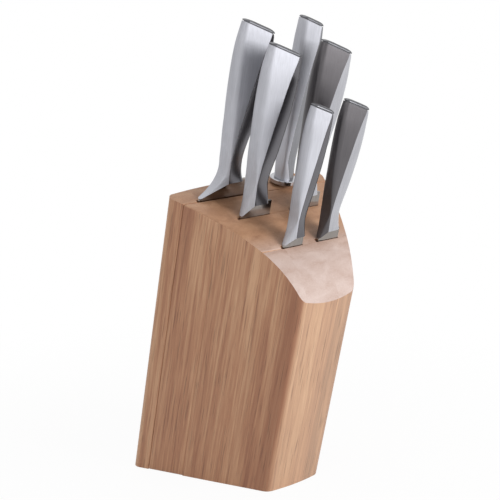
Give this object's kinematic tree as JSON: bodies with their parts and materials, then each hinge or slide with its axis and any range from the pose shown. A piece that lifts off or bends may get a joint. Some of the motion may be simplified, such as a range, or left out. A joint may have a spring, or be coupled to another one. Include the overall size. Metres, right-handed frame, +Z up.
{
  "type": "knife block with knives",
  "caption": "Leaning wedge-shaped wooden knife block with a curved sloping top, holding kitchen knives and a sharpening steel with twisted-facet steel handles.",
  "frame": {"origin": "middle of the block's base, on the surface it stands on", "axes": "+Z up, -Y is the narrow front that the block leans towards, +X across the slots, to the right seen from the front"},
  "size_m": [0.1526, 0.1573, 0.363],
  "materials": {
    "wood": "satin",
    "blade_steel": "polished",
    "handle_steel": "brushed",
    "cap_steel": "satin",
    "rod_steel": "ribbed"
  },
  "bodies": {
    "block": {"board_front": "wood", "board_mid_front": "wood", "board_mid_rear": "wood", "board_rear": "wood"},
    "chef_knife": {"chef_blade": "blade_steel", "chef_handle": "handle_steel", "chef_end_cap": "cap_steel"},
    "bread_knife": {"bread_blade": "blade_steel", "bread_handle": "handle_steel", "bread_end_cap": "cap_steel"},
    "carving_knife": {"carving_blade": "blade_steel", "carving_handle": "handle_steel", "carving_end_cap": "cap_steel"},
    "paring_knife": {"paring_blade": "blade_steel", "paring_handle": "handle_steel", "paring_end_cap": "cap_steel"},
    "utility_knife": {"utility_blade": "blade_steel", "utility_handle": "handle_steel", "utility_end_cap": "cap_steel"},
    "steel": {"steel_rod": "rod_steel", "steel_collar": "blade_steel", "steel_handle": "handle_steel", "steel_end_cap": "cap_steel"}
  },
  "joints": [
    {"name": "chef_knife_lift", "type": "slide", "parent": "block", "child": "chef_knife", "axis": [0, -0.225, 0.9744], "range_m": [0, 0.195]},
    {"name": "bread_knife_lift", "type": "slide", "parent": "block", "child": "bread_knife", "axis": [0, -0.225, 0.9744], "range_m": [0, 0.192]},
    {"name": "carving_knife_lift", "type": "slide", "parent": "block", "child": "carving_knife", "axis": [0, -0.225, 0.9744], "range_m": [0, 0.192]},
    {"name": "paring_knife_lift", "type": "slide", "parent": "block", "child": "paring_knife", "axis": [0, -0.225, 0.9744], "range_m": [0, 0.09]},
    {"name": "utility_knife_lift", "type": "slide", "parent": "block", "child": "utility_knife", "axis": [0, -0.225, 0.9744], "range_m": [0, 0.13]},
    {"name": "steel_lift", "type": "slide", "parent": "block", "child": "steel", "axis": [0, -0.225, 0.9744], "range_m": [0, 0.2]}
  ]
}
